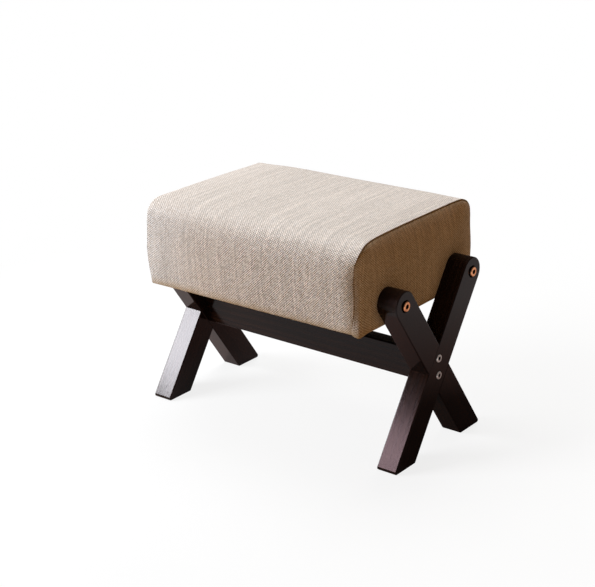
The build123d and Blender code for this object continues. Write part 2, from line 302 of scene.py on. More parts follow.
def make_cloth(name, light_evened_tone, left_light_evened, right_light_evened, is_main):
    """Cover cloth. Painted light evens the weave all over on level faces, and on upright ones by a share that
    runs from left to right.
    """
    material, tree, shader = principled(name, roughness=0.85, specular=0.15)
    uv = texture_place(tree, "UV")
    across = part_of(tree, uv, 0)
    along = part_of(tree, uv, 1)
    upward = part_of(tree, normal(tree), 2)
    height, shade, flecks, warp_up, group_u = weave(tree, uv, across, along)
    tone = mix_colour(tree, warp_up, ramp(tree, shade, WEFT_TONES), ramp(tree, shade, WARP_TONES))
    # Painted light: worn is the share by which the weave is evened and its relief weakened as light evens it,
    # whole on level faces; on the ends it is painted shade
    upright_light_evened = spread(tree, across, *LIGHT_EVENED_X, left_light_evened, right_light_evened)
    worn = spread(tree, upward, *UPRIGHT_TO_LEVEL, upright_light_evened, 1.0)
    tone = mix_colour(tree, product(tree, worn, 0.5), tone, light_evened_tone)
    # Painted shade: the hollows between yarns are darkened, less where the weave is evened
    hollow_shade = spread(tree, height, 0.0, 0.7, calc(tree, "ADD", 0.70, product(tree, worn, 0.16)), 1.10)
    streak_place = vector(tree, product(tree, group_u, STREAK_SHIFT), product(tree, along, STREAK_RATE))
    streak = spread(tree, noise(tree, streak_place, scale=1.0, detail=1.0), 0.3, 0.7, 0.86, 1.12)
    broad = spread(tree, noise(tree, uv, scale=9.0, detail=3.0), 0.3, 0.7, 0.97, 1.03)
    colour = tinted(tree, tone, grey(tree, product(tree, hollow_shade, streak, broad)))
    if is_main:
        colour = paint_light_on_main_panel(tree, colour, across, upward)
    else:
        # Painted warm shade on the ends' upper slope below the seam
        colour = tinted(tree, colour, END_WARM_SHADE_TINT, spread(tree, upward, 0.05, 0.40))
    tree.links.new(paint_bottom_bounce(tree, colour, uv), shader.inputs["Base Color"])
    relief = spread(tree, worn, 0.0, 1.0, 0.5, 0.25)
    bump(tree, shader, weighted(tree, (height, 1.0), (flecks, 0.5)), strength=relief, distance=0.0007)
    shader.inputs["Sheen Weight"].default_value = 0.18
    shader.inputs["Sheen Roughness"].default_value = 0.45
    shader.inputs["Sheen Tint"].default_value = (0.95, 0.9, 0.85, 1)
    return material


# Stained wood: the grain runs along each bar, and the varnish is rubbed at the edges and dull on end grain
WOOD_TONES = [(0.25, (0.0105, 0.0042, 0.0024)), (0.5, (0.0160, 0.0062, 0.0034)),
              (0.8, (0.0240, 0.0094, 0.0054))]
PORE_TONE = (0.003, 0.0016, 0.0012, 1)
RUBBED_TONE = (0.060, 0.030, 0.020, 1)
RUBBED_RADIUS = 0.0022


def make_wood(name, turn, axis):
    material, tree, shader = principled(name, specular=0.18)
    shader.inputs["Specular Tint"].default_value = (1.0, 0.955, 0.985, 1)
    place = texture_place(tree)
    streak = along_grain(tree, place, turn, stretch=0.045)
    wander = noise(tree, streak, scale=60.0, detail=4.0, rough=0.6)
    rings = put(tree, "ShaderNodeTexWave", {
        "Vector": streak, "Scale": 34.0, "Distortion": 7.0, "Detail": 3.0, "Detail Scale": 1.6,
    }, bands_direction="X").outputs["Fac"]
    pores = spread(tree, noise(tree, streak, scale=1500.0, rough=0.6), 0.42, 0.62)
    tone = ramp(tree, weighted(tree, (wander, 0.6), (rings, 0.4)), WOOD_TONES)
    pore_share = product(tree, calc(tree, "SUBTRACT", 1.0, pores), 0.45)
    colour = mix_colour(tree, pore_share, tone, PORE_TONE)
    rounded = put(tree, "ShaderNodeBevel", {"Radius": RUBBED_RADIUS}, samples=4).outputs[0]
    bend = vector_calc(tree, "DOT_PRODUCT", rounded, normal(tree, "True Normal"))
    patches = spread(tree, noise(tree, place, scale=70.0, detail=4.0), 0.42, 0.68)
    rubbed = product(tree, spread(tree, bend, 0.985, 0.86), patches)
    colour = mix_colour(tree, product(tree, rubbed, 0.5), colour, RUBBED_TONE)
    tree.links.new(colour, shader.inputs["Base Color"])
    smear = spread(tree, noise(tree, place, scale=22.0, detail=3.0), 0.3, 0.7, 0.11, 0.13)
    facing = calc(tree, "ABSOLUTE", vector_calc(tree, "DOT_PRODUCT", normal(tree), axis))
    end_grain = spread(tree, facing, 0.25, 0.75, 0.0, 0.40)
    roughness = weighted(tree, (smear, 1.0), (pores, -0.02), (end_grain, 1.0))
    tree.links.new(roughness, shader.inputs["Roughness"])
    bump(tree, shader, weighted(tree, (pores, 1.0), (wander, 0.6)), strength=0.06, distance=0.0002)
    return material


# Plated or plain metal with stains, fine scratches and painted shade in its sockets
SOCKET_SHADE_TONE = (0.010, 0.008, 0.007, 1)
SOCKET_SHADE_REACH = 0.006


def make_metal(name, dark, light, roughness):
    material, tree, shader = principled(name, roughness, metallic=1.0)
    place = texture_place(tree)
    stains = noise(tree, place, scale=160.0, detail=4.0, rough=0.6)
    scratch_place = put(tree, "ShaderNodeMapping", {0: place, "Scale": (0.3, 1, 1)}).outputs[0]
    tone = ramp(tree, stains, [(0.32, dark), (0.62, light)])
    # Painted shade: darker where ambient occlusion finds the metal enclosed, as in sockets
    open_share = put(tree, "ShaderNodeAmbientOcclusion", {"Distance": SOCKET_SHADE_REACH}, samples=8).outputs["AO"]
    tone = mix_colour(tree, spread(tree, open_share, 0.45, 0.80, 0.92, 0.0), tone, SOCKET_SHADE_TONE)
    tree.links.new(tone, shader.inputs["Base Color"])
    worn = spread(tree, stains, 0.3, 0.7, roughness + 0.1, roughness - 0.04)
    tree.links.new(worn, shader.inputs["Roughness"])
    bump(tree, shader, noise(tree, scratch_place, scale=2600.0), strength=0.12, distance=0.0002)
    return material


# Sawn pine and plywood inside the seat
PLY = 0.0015


def make_pale_wood(name, turn, low, high, ply=False):
    material, tree, shader = principled(name, roughness=0.75, specular=0.25)
    place = texture_place(tree)
    streak = along_grain(tree, place, turn, stretch=0.06)
    rings = put(tree, "ShaderNodeTexWave", {
        "Vector": streak, "Scale": 45.0, "Distortion": 5.0, "Detail": 3.0,
    }, bands_direction="X").outputs["Fac"]
    fibres = noise(tree, streak, scale=300.0, detail=3.0)
    grain = weighted(tree, (rings, 0.55), (fibres, 0.45))
    colour = ramp(tree, grain, [(0.25, high), (0.8, low)])
    if ply:
        layer = calc(tree, "PINGPONG", part_of(tree, place, 2), PLY)
        colour = tinted(tree, colour, grey(tree, spread(tree, layer, 0.0, PLY, 0.72, 1.0)))
    tree.links.new(colour, shader.inputs["Base Color"])
    bump(tree, shader, grain, strength=0.3, distance=0.0004)
    return material


def make_foam():
    """Open-cell foam, yellowed in patches."""
    material, tree, shader = principled("foam", roughness=0.95, specular=0.1)
    place = texture_place(tree)
    cells = put(tree, "ShaderNodeTexVoronoi", {"Vector": place, "Scale": 900.0}).outputs["Distance"]
    aged = noise(tree, place, scale=18.0, detail=3.0)
    pale = ramp(tree, aged, [(0.3, (0.72, 0.62, 0.38)), (0.7, (0.86, 0.78, 0.55))])
    # Painted shade in the foam's open cells
    pit_shade = grey(tree, spread(tree, cells, 0.1, 0.6, 0.6, 1.0))
    tree.links.new(tinted(tree, pale, pit_shade), shader.inputs["Base Color"])
    bump(tree, shader, cells, strength=0.6, distance=0.0006)
    return material


# Black non-woven cloth with its grid of bonding dots
DOT_SPACING = 0.0018


def make_felt():
    material, tree, shader = principled("dust_cloth", roughness=0.9, specular=0.2)
    place = texture_place(tree)
    dot_x, dot_y = [ridges(tree, part_of(tree, place, i), math.pi / DOT_SPACING) for i in (0, 1)]
    dots = spread(tree, product(tree, dot_x, dot_y), 0.35, 0.75)
    fibres = noise(tree, place, scale=900.0, detail=4.0, rough=0.7)
    shade = weighted(tree, (fibres, 0.7), (dots, 0.3))
    tone = ramp(tree, shade, [(0.25, (0.006, 0.006, 0.007)), (0.85, (0.035, 0.034, 0.036))])
    tree.links.new(tone, shader.inputs["Base Color"])
    bump(tree, shader, calc(tree, "SUBTRACT", fibres, dots), strength=0.4, distance=0.0004)
    return material


# Turns that lay the grain along X or Y
ALONG_X = (0, math.pi / 2, 0)
ALONG_Y = (math.pi / 2, 0, 0)
PINE_DARK = (0.40, 0.25, 0.11)
PINE_PALE = (0.66, 0.48, 0.27)

# The ends' cloth is a shaded copy of the cover cloth: painted shade evens its weave and browns it
cloth = make_cloth("cover_cloth", MAIN_LIGHT_EVENED_TONE, left_light_evened=0.75, right_light_evened=0.0, is_main=True)
end_cloth = make_cloth("cover_cloth_ends", END_SHADE_EVENED_TONE, left_light_evened=0.7, right_light_evened=0.7, is_main=False)
foam = make_foam()
felt = make_felt()
front_leg_wood = make_wood("stained_wood_front_legs", (LEAN, 0, 0), (0, math.sin(LEAN), math.cos(LEAN)))
back_leg_wood = make_wood("stained_wood_back_legs", (-LEAN, 0, 0), (0, -math.sin(LEAN), math.cos(LEAN)))
stretcher_wood = make_wood("stained_wood_stretcher", ALONG_X, (1, 0, 0))
copper = make_metal("copper_plated_bolt", (0.60, 0.22, 0.10), (0.95, 0.44, 0.21), 0.2)
zinc = make_metal("zinc_plated_bolt", (0.52, 0.52, 0.50), (0.86, 0.86, 0.83), 0.3)
steel = make_metal("plain_steel", (0.22, 0.22, 0.22), (0.40, 0.40, 0.39), 0.38)
pine_x = make_pale_wood("frame_pine_long", ALONG_X, PINE_DARK, PINE_PALE)
pine_y = make_pale_wood("frame_pine_end", ALONG_Y, PINE_DARK, PINE_PALE)
plywood = make_pale_wood("deck_plywood", ALONG_X, (0.36, 0.22, 0.10), (0.58, 0.41, 0.23), ply=True)

finishes = {
    "right_front_leg": front_leg_wood, "left_front_leg": front_leg_wood,
    "right_back_leg": back_leg_wood, "left_back_leg": back_leg_wood,
    "stretcher": stretcher_wood, "seat_bolts": copper, "stretcher_bolts": zinc,
    "seat_tee_nuts": steel, "stretcher_barrel_nuts": steel, "frame_screws": steel,
    "frame_front_rail": pine_x, "frame_back_rail": pine_x, "frame_right_rail": pine_y,
    "frame_left_rail": pine_y, "frame_cross_rail": pine_y, "seat_deck": plywood,
}
for name, material in finishes.items():
    data = nodes[name].data
    data.materials.clear()
    data.materials.append(material)


# Cover's shell: rows of points round its sections, from the front's lower edge over the top to the back's
NEAR_SEAM = (0, 0.0008, 0.0018, 0.0033, 0.0057, 0.009, 0.0135, 0.019)
END_STEPS = NEAR_SEAM + (0.025, 0.032, SLOPE)
INNER = SLOPE + FLAT_ROUND
RING_DEPTHS = END_STEPS + (INNER,)
FLAT_DEPTH = 0.05                        # distance from the seam given to all of an end's flat
BOTTOM_ROUND = 0.005                     # round of the lower edges, where the cloth turns under
TUCK_REACHES = (0.010, 0.0125, 0.0145)   # lines of an end panel under the frame
INSET = 0.0005                           # how much smaller the middle starts, because it swells
POINT_STEPS = 2e6                        # steps to a metre: points in the same step are one
INNER_ROWS = 24
TOP_STEPS = 17
EDGE_STEPS = 9
SIDE_STEPS = 14
TURN_STEPS = 4
TUCK_STEPS = 3


def steps(a, b, count):
    return [a + (b - a) * i / count for i in range(1, count + 1)]


def half_outline(half, corner, edge_round):
    """Points (y, z) from the middle of the top to the front's lower edge, without crown and swell."""
    flat = half - edge_round
    points = [(0.0, corner)]
    points += [(y, corner) for y in steps(0.0, -flat, TOP_STEPS)]
    for angle in steps(0.0, math.pi / 2, EDGE_STEPS):
        points.append((-flat - edge_round * math.sin(angle), corner - edge_round * (1 - math.cos(angle))))
    points += [(-half, z) for z in steps(corner - edge_round, SEAT_BOTTOM + BOTTOM_ROUND, SIDE_STEPS)]
    return points


def section(x, half, corner, crown, swell, edge_round, tuck=True):
    """Whole section at x, the front first; a tuck takes both its ends on under the seat."""
    points = half_outline(half, corner, edge_round)
    if tuck:
        for angle in steps(0.0, math.pi / 2, TURN_STEPS):
            turned_y = -half + BOTTOM_ROUND * (1 - math.cos(angle))
            points.append((turned_y, SEAT_BOTTOM + BOTTOM_ROUND * (1 - math.sin(angle))))
        points += [(y, SEAT_BOTTOM) for y in steps(-half + BOTTOM_ROUND, -TUCK_Y, TUCK_STEPS)]
    middle = (SEAT_BOTTOM + corner) / 2
    tall = (corner - SEAT_BOTTOM) / 2
    front = []
    for y, z in points:
        out = swell * (1 - ((z - middle) / tall) ** 2)
        lift = crown * (1 - min(1, (y / half) ** 2)) if z > middle else 0.0
        front.append((x, y + out * max(-1, y / half), z + lift))
    back = [(x, -y, z) for x, y, z in front[1:]]
    return front[::-1] + back


def main_rows():
    """Places along X and sections of the main panel, from the left seam to the right one."""
    half = [-SEAM_X + far for far in list(NEAR_SEAM) + steps(NEAR_SEAM[-1], SEAM_X, INNER_ROWS)]
    xs = half + [-x for x in half[-2::-1]]
    rows = []
    for x in xs:
        full = 1 - (x / SEAM_X) ** 4
        crown = CROWN + MIDDLE_CROWN * full
        swell = SWELL + MIDDLE_SWELL * full
        inset = INSET * full
        rows.append(section(x, HALF_DEPTH - inset, SEAM_HEIGHT - inset, crown, swell, TOP_ROUND))
    return xs, rows


def ring(x, drawn, edge_round):
    """Section of an end panel, drawn in from the seam's outline."""
    return section(x, HALF_DEPTH - drawn, SEAM_HEIGHT - drawn, CROWN, SWELL, edge_round, tuck=False)


def end_rings(side):
    """Rings of a domed end from the seam inwards to its flat, one for each of RING_DEPTHS."""
    rings = []
    for drawn in END_STEPS:
        share = drawn / SLOPE
        x = SEAM_X + PUFF * (1 - (1 - share) ** 2)
        rings.append(ring(side * x, drawn, TOP_ROUND * (1 - share) + FLAT_ROUND * share))
    rings.append(ring(side * (SEAM_X + PUFF), INNER, 0.0))
    return rings


class Shell:
    """Sewn shell of the cover: points, distances from the seam, and each panel's faces and cloth places."""

    def __init__(self):
        self.points = []
        self.seam = []
        self.keys = {}
        self.faces = {"main": [], "right": [], "left": []}
        self.uv = {"main": {}, "right": {}, "left": {}}

    def point(self, co, panel, uv, seam):
        """Index of the point at a place, which panels share."""
        key = tuple(round(c * POINT_STEPS) for c in co)
        index = self.keys.get(key)
        if index is None:
            index = self.keys[key] = len(self.points)
            self.points.append(co)
            self.seam.append(seam)
        self.seam[index] = min(self.seam[index], seam)
        self.uv[panel][index] = uv
        return index

    def quads(self, grid, panel, flip):
        """Faces between the lines of a grid, without the corners that fall together."""
        for a, b in zip(grid, grid[1:]):
            for i in range(len(a) - 1):
                face = [a[i], a[i + 1], b[i + 1], b[i]]
                face = [p for k, p in enumerate(face) if p != face[k - 1]]
                if len(face) > 2:
                    self.faces[panel].append(face if flip else face[::-1])


def add_main_panel(shell):
    xs, rows = main_rows()
    middle = rows[len(rows) // 2]
    lengths = [0.0]
    for a, b in zip(middle, middle[1:]):
        lengths.append(lengths[-1] + math.dist(a, b))
    grid = []
    for x, row in zip(xs, rows):
        far = SEAM_X - abs(x)
        grid.append([shell.point(p, "main", (x, length), far) for p, length in zip(row, lengths)])
    shell.quads(grid, "main", False)


def add_end_panel(shell, panel, side):
    rings = end_rings(side)
    grid = []
    for row, far in zip(rings, RING_DEPTHS):
        grid.append([shell.point(p, panel, (p[1], p[2]), far) for p in row])
    shell.quads(grid, panel, side < 0)
    columns = flat_columns(shell, panel, rings[-1])
    shell.quads(columns, panel, side > 0)
    turn_under(shell, panel, side, grid, columns)


def flat_columns(shell, panel, inner):
    """Columns of points that fill the flat inside an end's innermost ring, from its top down."""
    first = len(inner) // 2 - TOP_STEPS
    last = len(inner) // 2 + TOP_STEPS
    top_level = SEAM_HEIGHT - INNER
    columns = []
    for i in range(first, last + 1):
        x, y, top_z = inner[i]
        column = []
        for k in range(SIDE_STEPS + 1):
            share = k / SIDE_STEPS
            if k == 0:
                co = inner[i]
            elif i == first:
                co = inner[SIDE_STEPS - k]
            elif i == last:
                co = inner[len(inner) - 1 - SIDE_STEPS + k]
            else:
                widened = abs(inner[SIDE_STEPS - k][1]) / abs(inner[first][1])
                z = top_level + (SEAT_BOTTOM + BOTTOM_ROUND - top_level) * share
                co = (x, y * widened, z + (top_z - top_level) * (1 - share) ** 2)
            column.append(shell.point(co, panel, (co[1], co[2]), FLAT_DEPTH))
        columns.append(column)
    return columns


def turn_under(shell, panel, side, grid, columns):
    """Turns the lower edge of an end panel under the frame."""
    lower = [line[0] for line in grid]
    lower += [column[-1] for column in columns[1:-1]]
    lower += [line[-1] for line in grid[::-1]]
    lower = [i for k, i in enumerate(lower) if k == 0 or i != lower[k - 1]]
    straight = HALF_DEPTH - PUFF
    ways = []
    for i in lower:
        x, y = shell.points[i][:2]
        past = y - math.copysign(straight, y) if abs(y) > straight else 0.0
        way = Vector((abs(x) - SEAM_X, past, 0))
        way.normalize()
        ways.append(Vector((way.x * side, way.y, 0)))
    turned = [lower]
    for angle in steps(0.0, math.pi / 2, TURN_STEPS):
        inwards = BOTTOM_ROUND * (1 - math.cos(angle))
        turned.append(shifted(shell, panel, lower, ways, inwards, BOTTOM_ROUND * math.sin(angle)))
    for inwards in TUCK_REACHES:
        turned.append(shifted(shell, panel, lower, ways, inwards, BOTTOM_ROUND))
    shell.quads(turned, panel, side < 0)


def shifted(shell, panel, lower, ways, inwards, down):
    """New line of points, inwards and down from an end panel's lower edge."""
    line = []
    for i, way in zip(lower, ways):
        p = Vector(shell.points[i]) - way * inwards
        z = p.z - down
        line.append(shell.point((p.x, p.y, z), panel, (p.y, z - inwards), max(shell.seam[i], 0.0)))
    return line


def make_shell():
    shell = Shell()
    add_main_panel(shell)
    add_end_panel(shell, "right", 1)
    add_end_panel(shell, "left", -1)
    return shell


def mesh_object(name, points, faces, material):
    data = bpy.data.meshes.new(name)
    data.from_pydata([tuple(p) for p in points], [], faces)
    data.materials.append(material)
    data.polygons.foreach_set("use_smooth", [True] * len(data.polygons))
    data.update()
    piece = bpy.data.objects.new(name, data)
    bpy.context.scene.collection.objects.link(piece)
    return piece


def vertex_values(data, kind):
    """Places or normals of a mesh's points, as rows of an array."""
    flat = np.zeros(len(data.vertices) * 3, np.float32)
    data.vertices.foreach_get(kind, flat)
    return flat.reshape(-1, 3).astype(float)


# Cover pulled tight over the foam: the shell is held at its seams and lower edges, and swells between them
MOST_SWELL = 0.0030
HELD_SEAM = 0.0005       # points nearer to a seam are held
HELD_EDGE = 0.004        # over the turned edge the hold fades in this height
SWELL_FRAMES = 20

shell = make_shell()
every_face = shell.faces["main"] + shell.faces["right"] + shell.faces["left"]
work = mesh_object("cushion_work", shell.points, every_face, cloth)
start = vertex_values(work.data, "co")
firm = vertex_values(work.data, "normal")
seam_far = np.array(shell.seam)


def simulate_swell():
    """How far each point moves when pressure swells the shell."""
    held = work.vertex_groups.new(name="held")
    for i, (p, far) in enumerate(zip(start, seam_far)):
        low = max(0.0, 1 - max(0.0, p[2] - SEAT_BOTTOM - BOTTOM_ROUND) / HELD_EDGE)
        weight = max(low, 1.0 if far < HELD_SEAM else 0.0)
        if weight > 0:
            held.add([i], weight, "REPLACE")
    modifier = work.modifiers.new("swell", "CLOTH")
    settings = modifier.settings
    settings.quality = 6
    settings.mass = 0.25
    settings.tension_stiffness = 25
    settings.compression_stiffness = 25
    settings.shear_stiffness = 8
    settings.bending_stiffness = 1.5
    settings.vertex_group_mass = "held"
    settings.use_pressure = True
    settings.uniform_pressure_force = 4
    settings.effector_weights.gravity = 0
    scene = bpy.context.scene
    scene.frame_start = 1
    scene.frame_end = SWELL_FRAMES
    for number in range(1, SWELL_FRAMES + 1):
        scene.frame_set(number)
    evaluated = work.evaluated_get(bpy.context.evaluated_depsgraph_get())
    moved = vertex_values(evaluated.data, "co")
    scene.frame_set(1)
    work.modifiers.remove(modifier)
    return moved - start


def swollen_places():
    """Places of the swollen shell: nothing moves inwards, and the swell is capped."""
    move = simulate_swell()
    inwards = np.minimum(0, np.sum(move * firm, axis=1))
    move -= firm * inwards[:, None]
    size = np.linalg.norm(move, axis=1)
    move *= (MOST_SWELL * np.tanh(size / MOST_SWELL) / np.maximum(size, 1e-9))[:, None]
    return start + move


# Shaping of the cover, in metres. Values by corner are for the right front, the right back and the left
CORNER_OUT = (0.0062, 0.0040, 0.0030)    # top corners, outwards along X
EDGE_OUT = (0.0030, 0.0030, 0.0066)      # upright edges, outwards along X
EDGE_ALONG = (0.0, 0.0025, 0.0)          # and along Y
FOOT_IN = (0.0055, 0.0035, 0.0035)       # feet of these edges, inwards
EAR_OUT = (0.0024, 0.0050, 0.0)          # lower corners, outwards along X
EAR_DROP = (0.0042, 0.0030, 0.0)         # and down
EAR_ALONG = 0.0060                       # and along Y
END_REACH = 0.060                        # only this far in from the seams
ROLL_IN = 0.0049
ROLL_BACK = 0.0035
ROLL_REACH = 0.022
ROLL_POWER = 1.5

# Soft bands that the shaping keeps to: middle and width
TOP_CORNER_Y = (0.131, 0.026)
TOP_CORNER_Z = (0.339, 0.023)
RIGHT_EDGE_Z = (0.268, 0.048)
LEFT_EDGE_Z = (0.262, 0.054)
EDGE_Y = (HALF_DEPTH, 0.030)
EDGE_FAR = (0, 0.020)
FOOT_Y = (HALF_DEPTH, 0.012)
FOOT_Z = (SEAT_BOTTOM, 0.030)
FOOT_FAR = (0, 0.006)
EAR_Y = (0.138, 0.016)
EAR_Z = (SEAT_BOTTOM, 0.022)
EAR_FAR = (0.010, 0.009)
ROLL_Z = (0.285, 0.045)
BACK_Y = (0.124, 0.036)
LEFT_X = (-SEAM_X, 0.045)
HANG_Z = (SEAT_BOTTOM, 0.020)

# Stretches over which a change grows: start and length
BACK_Z = (0.322, 0.016)
SLACK_Z = (0.305, 0.030)
HANG_Y = (0.120, 0.020)
SEWN_EDGE_Z = (SEAT_BOTTOM + 0.004, 0.006)
SEWN_TOP_Z = (0.322, 0.014)

# Changes of height along a line: places and amounts
BACK_RAISED = ((-0.19, 0.0, 0.14, 0.19), (0.0, 0.0006, 0.0020, 0.0014))
LEFT_SLACK = ((-0.10, 0.06, 0.115), (0.0, 0.0028, 0.0037))
FRONT_HANG = ((-0.19, 0.0, 0.15, 0.19), (0.0026, 0.0018, 0.0008, 0.0))

# Sewn seam: how far each panel's edge goes out along X and up, at the steps nearest to the seam
SEAM_STEPS = NEAR_SEAM[:6]
MAIN_EDGE_OUT = (-0.0010, 0.0015, 0.0011, 0.0005, 0.0001, 0)
MAIN_EDGE_UP = (-0.0018, -0.0001, 0.0001, 0.0001, 0, 0)
END_EDGE_OUT = (-0.0010, 0.0003, 0.0005, 0.0004, 0.0001, 0)
END_EDGE_UP = (-0.0018, -0.0018, -0.0017, -0.0012, -0.0004, 0)
SHALLOW = 0.3            # share of the seam's depth down the corners

# The cloth's greatest reach beside the legs
LEG_GAP = 0.0001
FREE_SWELL = 0.0035
FREE_REACH = 0.030

swollen = swollen_places()
side = np.sign(swollen[:, 0])
depth = np.sign(swollen[:, 1])
ay = np.abs(swollen[:, 1])
on_end = np.abs(swollen[:, 0]) > SEAM_X - END_REACH
right_front = (side > 0) & (depth < 0)


def near(value, middle, width):
    """Soft band: 1 at its middle, falling away on both sides."""
    return np.exp(-((value - middle) / width) ** 2)


def rise(value, low, reach):
    """Share that goes from 0 at low to 1 after reach."""
    return np.clip((value - low) / reach, 0, 1)


def by_corner(values):
    """Each point's value, from those for the right front, the right back and the left."""
    front, back, left = values
    return np.where(side > 0, np.where(depth < 0, front, back), left)


# In these functions x, y and z are views, so that a change to them changes the shape
def shape_corners(shape):
    """Corners and upright edges stand out, feet of edges are drawn in, lower right corners hang as ears."""
    x, y, z = shape.T
    edge_y = near(ay, *EDGE_Y)
    by_seam = near(seam_far, *EDGE_FAR) * on_end
    upper = near(ay, *TOP_CORNER_Y) * near(z, *TOP_CORNER_Z) * by_seam
    upright = np.where(side > 0, near(z, *RIGHT_EDGE_Z), near(z, *LEFT_EDGE_Z)) * edge_y * by_seam
    foot = near(z, *FOOT_Z) * near(ay, *FOOT_Y) * near(seam_far, *FOOT_FAR) * on_end
    ear = near(z, *EAR_Z) * near(ay, *EAR_Y) * near(seam_far, *EAR_FAR) * (x > SEAM_X)
    x += side * (by_corner(CORNER_OUT) * upper + by_corner(EDGE_OUT) * upright)
    x += side * (by_corner(EAR_OUT) * ear - by_corner(FOOT_IN) * foot)
    y += depth * (by_corner(EDGE_ALONG) * upright + EAR_ALONG * ear)
    z -= by_corner(EAR_DROP) * ear


def roll_front(shape):
    """The front rolls over into the right seam."""
    x, y, z = shape.T
    rolled = np.clip(1 - seam_far / ROLL_REACH, 0, 1) ** ROLL_POWER
    rolled *= near(z, *ROLL_Z) * near(ay, *EDGE_Y)
    rolled *= on_end & right_front
    x -= ROLL_IN * rolled
    y += ROLL_BACK * rolled


def raise_back(shape):
    """The padding stands a little higher along the back, most at the right."""
    x, y, z = shape.T
    raised = near(y, *BACK_Y) * rise(z, *BACK_Z)
    z += raised * np.interp(x, *BACK_RAISED)


def slacken_left(shape):
    """The left seam gives a little towards the back corner."""
    x, y, z = shape.T
    slack = near(x, *LEFT_X) * rise(z, *SLACK_Z)
    z -= slack * np.interp(y, *LEFT_SLACK)


def hang_front(shape):
    """The lower edge of the front hangs a little, most at the left."""
    x, y, z = shape.T
    hang = near(z, *HANG_Z) * rise(-y, *HANG_Y)
    z -= hang * np.interp(x, *FRONT_HANG)


def clear_legs(shape):
    """Nothing swells into the legs: the cloth lies flat against them."""
    x, _, z = shape.T
    run_y = -SEAT_BOLT_Y
    run_z = CROSSING - SEAT_BOLT_Z
    from_y = ay - SEAT_BOLT_Y
    from_z = z - SEAT_BOLT_Z
    share = np.clip((from_y * run_y + from_z * run_z) / (run_y ** 2 + run_z ** 2), 0, 1)
    gap = np.hypot(from_y - share * run_y, from_z - share * run_z) - LEG_HALF
    most_x = LEG_X - LEG_GAP + FREE_SWELL * rise(gap, 0.0, FREE_REACH) ** 2
    x[:] = side * np.minimum(np.abs(x), most_x)


def sew_seam(shape):
    """The main panel's edge stands over the end panel's, deep along the top and shallow down the corners."""
    main_out = np.interp(seam_far, SEAM_STEPS, MAIN_EDGE_OUT)
    main_up = np.interp(seam_far, SEAM_STEPS, MAIN_EDGE_UP)
    end_out = np.interp(seam_far, SEAM_STEPS, END_EDGE_OUT)
    end_up = np.interp(seam_far, SEAM_STEPS, END_EDGE_UP)
    outwards = firm[:, 1:] / np.maximum(np.linalg.norm(firm[:, 1:], axis=1), 1e-6)[:, None]
    above_edge = rise(start[:, 2], *SEWN_EDGE_Z)
    sewn = above_edge * (SHALLOW + (1 - SHALLOW) * rise(start[:, 2], *SEWN_TOP_Z))
    is_end = np.abs(start[:, 0]) > SEAM_X + 1e-6
    shape[:, 0] += side * sewn * np.where(is_end, end_out, main_out)
    shape[:, 1:] += outwards * (sewn * np.where(is_end, end_up, main_up))[:, None]


shape = swollen.copy()
shape_corners(shape)
roll_front(shape)
raise_back(shape)
slacken_left(shape)
hang_front(shape)
clear_legs(shape)
sew_seam(shape)
work.data.vertices.foreach_set("co", shape.astype(np.float32).ravel())
work.data.update()
outward = vertex_values(work.data, "normal")
bpy.data.objects.remove(work)

# The three panels of the cover
CLOTH = 0.0012


def thicken(piece, thickness, offset):
    thick = piece.modifiers.new("thick", "SOLIDIFY")
    thick.thickness = thickness
    thick.offset = offset


def panel_piece(name, panel, node, material):
    used = sorted(set(i for face in shell.faces[panel] for i in face))
    new = {old: k for k, old in enumerate(used)}
    faces = [[new[i] for i in face] for face in shell.faces[panel]]
    piece = mesh_object(name, shape[used], faces, material)
    layer = piece.data.uv_layers.new(name="cloth")
    places = [shell.uv[panel][old] for old in used]
    for loop in piece.data.loops:
        layer.data[loop.index].uv = places[loop.vertex_index]
    smooth = piece.modifiers.new("smooth", "SUBSURF")
    smooth.levels = smooth.render_levels = 1
    thicken(piece, CLOTH, -1)
    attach(piece, "root")
    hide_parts(node)


panel_piece("main_panel", "main", "cover_main_panel", cloth)
panel_piece("right_panel", "right", "cover_right_panel", end_cloth)
panel_piece("left_panel", "left", "cover_left_panel", end_cloth)

# Foam inside the cover, cut where the frame and the deck are
FOAM_GAP = 0.0006


def foam_piece(name, node, cuts):
    """One foam of the seat: each cut keeps what lies on the side that its normal points to."""
    piece = mesh_object(name, shape - outward * (CLOTH + FOAM_GAP), every_face, foam)
    mesh = bmesh.new()
    mesh.from_mesh(piece.data)
    bmesh.ops.remove_doubles(mesh, verts=mesh.verts, dist=1e-6)
    bmesh.ops.holes_fill(mesh, edges=mesh.edges, sides=0)
    for place, way in cuts:
        every = mesh.verts[:] + mesh.edges[:] + mesh.faces[:]
        bmesh.ops.bisect_plane(mesh, geom=every, plane_co=place, plane_no=way, clear_inner=True)
        bmesh.ops.holes_fill(mesh, edges=mesh.edges, sides=0)
    bmesh.ops.triangulate(mesh, faces=[f for f in mesh.faces if len(f.verts) > 4])
    bmesh.ops.recalc_face_normals(mesh, faces=mesh.faces)
    mesh.to_mesh(piece.data)
    mesh.free()
    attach(piece, "root")
    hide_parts(node)


over_deck = ((0, 0, DECK), (0, 0, 1))
under_deck = ((0, 0, DECK), (0, 0, -1))
before_frame = ((0, -FRAME_Y, 0), (0, -1, 0))
behind_frame = ((0, FRAME_Y, 0), (0, 1, 0))
right_of_frame = ((FRAME_X, 0, 0), (1, 0, 0))
left_of_frame = ((-FRAME_X, 0, 0), (-1, 0, 0))
between_ends = [((FRAME_X, 0, 0), (-1, 0, 0)), ((-FRAME_X, 0, 0), (1, 0, 0))]
foam_piece("foam_pad", "seat_foam", [over_deck])
foam_piece("foam_front", "front_padding", [under_deck, before_frame, *between_ends])
foam_piece("foam_back", "back_padding", [under_deck, behind_frame, *between_ends])
foam_piece("foam_right", "right_end_padding", [under_deck, right_of_frame])
foam_piece("foam_left", "left_end_padding", [under_deck, left_of_frame])

